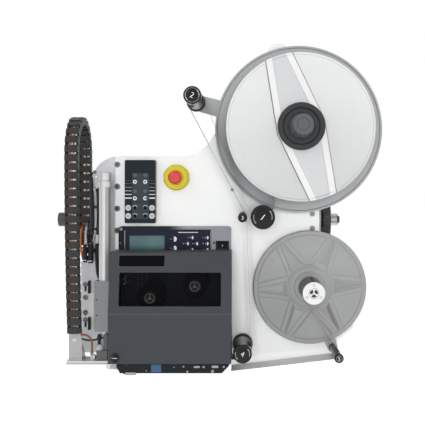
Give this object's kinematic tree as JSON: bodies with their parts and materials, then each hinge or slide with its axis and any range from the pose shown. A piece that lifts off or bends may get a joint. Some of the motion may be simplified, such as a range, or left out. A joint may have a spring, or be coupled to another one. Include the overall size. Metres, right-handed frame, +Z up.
{
  "type": "automatic labeler",
  "caption": "Print-and-apply labelling head: plate with unwind and rewind reels, guide rollers, hinged print engine, control panel, stop button and tamp applicator with cable carrier.",
  "frame": {"origin": "on the support bar's axis, at the middle of its free left end, where the stand's clamp holds it", "axes": "+X to the operator's right along the bar, +Y away from the operator, +Z up"},
  "size_m": [0.726, 0.423, 0.7037],
  "materials": {
    "plate_aluminium": "fine vertical brushing",
    "sub_plate_aluminium": "fine vertical brushing",
    "steel": "ground and polished",
    "screw_steel": "zinc plated",
    "block_aluminium": "grey anodised",
    "roller_aluminium": "turned and clear anodised",
    "disc_aluminium": "satin, spun",
    "frosted_plastic": "frosted and brushed, faintly translucent",
    "black_plastic": "fine moulded grain",
    "grey_plastic": "fine moulded grain",
    "pale_plastic": "smooth",
    "pressed_grey": "pressed sheet, satin",
    "mandrel_grey": "satin",
    "motor_black": "satin paint",
    "engine_bluegrey": "fine powder coat",
    "engine_charcoal": "fine metallic powder coat",
    "display_navy": "smooth moulded",
    "smoked_pane": "smoked clear pane",
    "rubber_black": "ground rubber",
    "panel_black": "smooth moulded",
    "estop_yellow": "smooth moulded",
    "estop_red": "smooth moulded",
    "carrier_black": "moulded nylon",
    "paper": "thin paper"
  },
  "bodies": {
    "frame": {"main_plate": "plate_aluminium", "applicator_plate": "sub_plate_aluminium", "fixing_screws": "screw_steel", "support_bar": "steel", "bar_blocks": "block_aluminium", "bearing_housings": "block_aluminium", "rewind_motor": "motor_black", "roller_axles": "black_plastic", "control_panel": "panel_black", "estop_base": "estop_yellow", "engine_bezel": "engine_bluegrey", "engine_chassis": "engine_charcoal", "display_module": "display_navy", "engine_base": "engine_charcoal", "printhead": "block_aluminium", "peel_plate": "steel", "air_cylinder": "steel", "cylinder_cap": "black_plastic", "guide_block": "block_aluminium", "sensor_bracket": "sub_plate_aluminium", "end_sensors": "black_plastic", "chain_anchor": "sub_plate_aluminium", "chain_rear_run": "carrier_black", "label_web": "paper", "backing_web": "paper"},
    "unwind_reel": {"unwind_rear_disc": "disc_aluminium", "unwind_front_disc": "frosted_plastic", "unwind_hub": "grey_plastic", "hub_ring": "black_plastic", "unwind_shaft": "steel"},
    "reel_knob": {"unwind_knob": "grey_plastic"},
    "rewind_reel": {"rewind_disc": "pressed_grey", "rewind_mandrel": "mandrel_grey", "rewind_end_cap": "pale_plastic", "rewind_shaft": "steel"},
    "dancer": {"dancer_arm": "block_aluminium"},
    "dancer_roller": {"dancer_roller": "roller_aluminium"},
    "rewind_dancer": {"rewind_arm": "block_aluminium"},
    "rewind_dancer_roller": {"rewind_arm_roller": "roller_aluminium"},
    "large_roller": {"guide_roller_large": "roller_aluminium"},
    "small_roller": {"guide_roller_small": "roller_aluminium"},
    "medium_roller": {"guide_roller_medium": "roller_aluminium"},
    "handwheel": {"handwheel": "black_plastic"},
    "lid": {"lid": "engine_charcoal", "lid_window": "smoked_pane"},
    "lid_latch": {"lid_latch": "engine_charcoal"},
    "ribbon_supply": {"ribbon_supply_spindle": "black_plastic"},
    "ribbon_takeup": {"ribbon_takeup_spindle": "black_plastic"},
    "platen": {"platen_roller": "rubber_black"},
    "estop_button": {"estop_button": "estop_red"},
    "power_rocker": {"power_rocker": "black_plastic"},
    "panel_button_1": {"panel_button_1": "grey_plastic"},
    "panel_button_2": {"panel_button_2": "grey_plastic"},
    "panel_button_3": {"panel_button_3": "grey_plastic"},
    "panel_button_4": {"panel_button_4": "grey_plastic"},
    "applicator": {"applicator_rods": "steel", "foot_bar": "sub_plate_aluminium", "chain_front_run": "carrier_black"},
    "chain_loop": {"chain_loop": "carrier_black"}
  },
  "joints": [
    {"name": "unwind_spin", "type": "hinge", "parent": "frame", "child": "unwind_reel", "pos_m": [0.5, -0.1, 0.199], "axis": [0, -1, 0], "continuous": true},
    {"name": "reel_knob_turn", "type": "hinge", "parent": "unwind_reel", "child": "reel_knob", "pos_m": [0.5, -0.1, 0.199], "axis": [0, -1, 0], "range_deg": [0, 90]},
    {"name": "rewind_spin", "type": "hinge", "parent": "frame", "child": "rewind_reel", "pos_m": [0.524, -0.1, -0.142], "axis": [0, -1, 0], "continuous": true},
    {"name": "dancer_swing", "type": "hinge", "parent": "frame", "child": "dancer", "pos_m": [0.5, -0.1, 0.199], "axis": [0, -1, 0], "range_deg": [-25, 25], "stiffness_Nm_per_rad": 8, "springref_deg": -5.73, "deforming": ["label_web"]},
    {"name": "dancer_roller_spin", "type": "hinge", "parent": "dancer", "child": "dancer_roller", "pos_m": [0.27813, -0.1, 0.25845], "axis": [0, -1, 0], "continuous": true},
    {"name": "rewind_dancer_swing", "type": "hinge", "parent": "frame", "child": "rewind_dancer", "pos_m": [0.524, -0.1, -0.142], "axis": [0, -1, 0], "range_deg": [-20, 20], "stiffness_Nm_per_rad": 4, "springref_deg": 2.86, "deforming": ["backing_web"]},
    {"name": "rewind_dancer_roller_spin", "type": "hinge", "parent": "rewind_dancer", "child": "rewind_dancer_roller", "pos_m": [0.57494, -0.1, -0.27401], "axis": [0, -1, 0], "continuous": true},
    {"name": "large_roller_spin", "type": "hinge", "parent": "frame", "child": "large_roller", "pos_m": [0.4205, -0.1, 0.0125], "axis": [0, -1, 0], "continuous": true},
    {"name": "small_roller_spin", "type": "hinge", "parent": "frame", "child": "small_roller", "pos_m": [0.379, -0.1, 0.0115], "axis": [0, -1, 0], "continuous": true},
    {"name": "medium_roller_spin", "type": "hinge", "parent": "frame", "child": "medium_roller", "pos_m": [0.379, -0.1, -0.265], "axis": [0, -1, 0], "continuous": true},
    {"name": "handwheel_spin", "type": "hinge", "parent": "frame", "child": "handwheel", "pos_m": [0.56, 0, 0], "axis": [1, 0, 0], "continuous": true},
    {"name": "lid_hinge", "type": "hinge", "parent": "frame", "child": "lid", "pos_m": [0, -0.138, -0.07], "axis": [-1, 0, 0], "range_deg": [0, 90]},
    {"name": "lid_latch_turn", "type": "hinge", "parent": "lid", "child": "lid_latch", "pos_m": [0.122, -0.238, -0.27], "axis": [0, -1, 0], "range_deg": [0, 90]},
    {"name": "ribbon_supply_spin", "type": "hinge", "parent": "frame", "child": "ribbon_supply", "pos_m": [0.2806, -0.1, -0.1305], "axis": [0, -1, 0], "continuous": true},
    {"name": "ribbon_takeup_spin", "type": "hinge", "parent": "frame", "child": "ribbon_takeup", "pos_m": [0.188, -0.1, -0.155], "axis": [0, -1, 0], "continuous": true},
    {"name": "platen_spin", "type": "hinge", "parent": "frame", "child": "platen", "pos_m": [0.138, -0.1, -0.294], "axis": [0, -1, 0], "continuous": true},
    {"name": "estop_press", "type": "slide", "parent": "frame", "child": "estop_button", "axis": [0, 1, 0], "range_m": [0, 0.004], "stiffness_N_per_m": 3000},
    {"name": "power_rocker_tilt", "type": "hinge", "parent": "frame", "child": "power_rocker", "pos_m": [0.335, -0.106, -0.0585], "axis": [1, 0, 0], "range_deg": [-8, 8]},
    {"name": "tamp_slide", "type": "slide", "parent": "frame", "child": "applicator", "axis": [0, 0, -1], "range_m": [0, 0.15], "deforming": ["chain_rear_run"]},
    {"name": "chain_roll", "type": "slide", "parent": "applicator", "child": "chain_loop", "axis": [0, 0, 1], "range_m": [0, 0.075], "deforming": ["chain_front_run"]},
    {"name": "panel_button_1_press", "type": "slide", "parent": "frame", "child": "panel_button_1", "axis": [0, 1, 0], "range_m": [0, 0.001], "stiffness_N_per_m": 1500},
    {"name": "panel_button_2_press", "type": "slide", "parent": "frame", "child": "panel_button_2", "axis": [0, 1, 0], "range_m": [0, 0.001], "stiffness_N_per_m": 1500},
    {"name": "panel_button_3_press", "type": "slide", "parent": "frame", "child": "panel_button_3", "axis": [0, 1, 0], "range_m": [0, 0.001], "stiffness_N_per_m": 1500},
    {"name": "panel_button_4_press", "type": "slide", "parent": "frame", "child": "panel_button_4", "axis": [0, 1, 0], "range_m": [0, 0.001], "stiffness_N_per_m": 1500}
  ],
  "couplings": [
    {"joint": "chain_roll", "follows": "tamp_slide", "ratio": 0.5}
  ]
}
